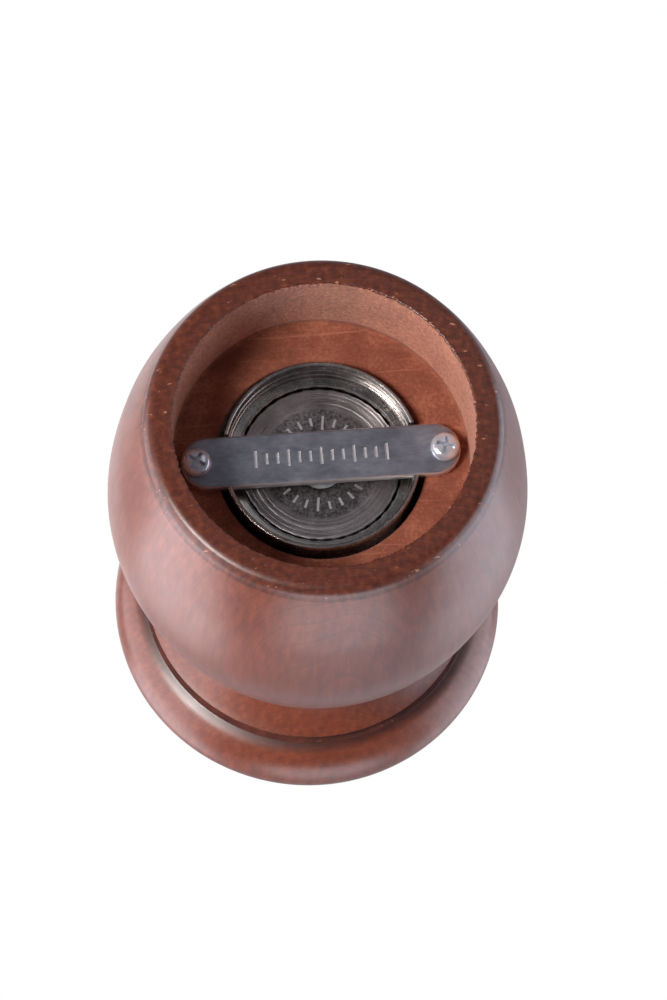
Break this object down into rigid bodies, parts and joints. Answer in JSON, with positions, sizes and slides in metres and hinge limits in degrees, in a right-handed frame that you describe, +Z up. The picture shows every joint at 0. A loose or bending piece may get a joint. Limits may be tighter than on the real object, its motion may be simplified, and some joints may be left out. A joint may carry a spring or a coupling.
{
  "type": "pepper mill",
  "caption": "Short turned-wood pepper mill with a steel burr set in its open foot, a lift-off turning head and a metal adjusting knob.",
  "frame": {"origin": "centre of the foot ring's standing face", "axes": "+Z up along the mill's axis towards the knob; +X along the retaining bar under the burrs"},
  "size_m": [0.0588, 0.0588, 0.1135],
  "materials": {
    "stained_wood": "satin lacquer",
    "stained_wood_head": "satin lacquer",
    "burr_steel": "blackened, satin",
    "sintered_steel": "cast, fine turned rings",
    "plated_steel": "zinc plated",
    "bar_steel": "satin",
    "spring_steel": "drawn wire",
    "knob_metal": "polished nickel plate"
  },
  "bodies": {
    "mill_body": {"wooden_body": "stained_wood", "stator_burr": "burr_steel", "guide_bridge": "plated_steel", "burr_spring": "spring_steel", "retaining_bar": "bar_steel", "bar_screw_left": "plated_steel", "bar_screw_right": "plated_steel"},
    "bush": {"shaft_bush": "plated_steel"},
    "shaft": {"drive_shaft": "plated_steel", "rotor_burr": "sintered_steel", "rivet_washer": "plated_steel", "spring_washer": "plated_steel"},
    "head": {"wooden_head": "stained_wood_head", "drive_plate": "plated_steel", "plate_screw_1": "plated_steel", "plate_screw_2": "plated_steel", "plate_screw_3": "plated_steel", "plate_screw_4": "plated_steel"},
    "washer": {"finial_washer": "knob_metal"},
    "knob": {"finial_knob": "knob_metal"}
  },
  "joints": [
    {"name": "grind_turn", "type": "hinge", "parent": "mill_body", "child": "bush", "pos_m": [0, 0, 0.029], "axis": [0, 0, 1], "continuous": true},
    {"name": "grind_adjust", "type": "slide", "parent": "bush", "child": "shaft", "axis": [0, 0, 1], "range_m": [-0.0012, 0.0004], "deforming": ["burr_spring"]},
    {"name": "head_lift", "type": "slide", "parent": "bush", "child": "head", "axis": [0, 0, 1], "range_m": [0, 0.055]},
    {"name": "knob_lift", "type": "slide", "parent": "head", "child": "washer", "axis": [0, 0, 1], "range_m": [0, 0.02]},
    {"name": "knob_turn", "type": "hinge", "parent": "washer", "child": "knob", "pos_m": [0, 0, 0.098], "axis": [0, 0, 1], "range_deg": [-180, 540]}
  ],
  "couplings": [
    {"joint": "knob_turn", "follows": "grind_adjust", "rad_per_m": -7854}
  ]
}
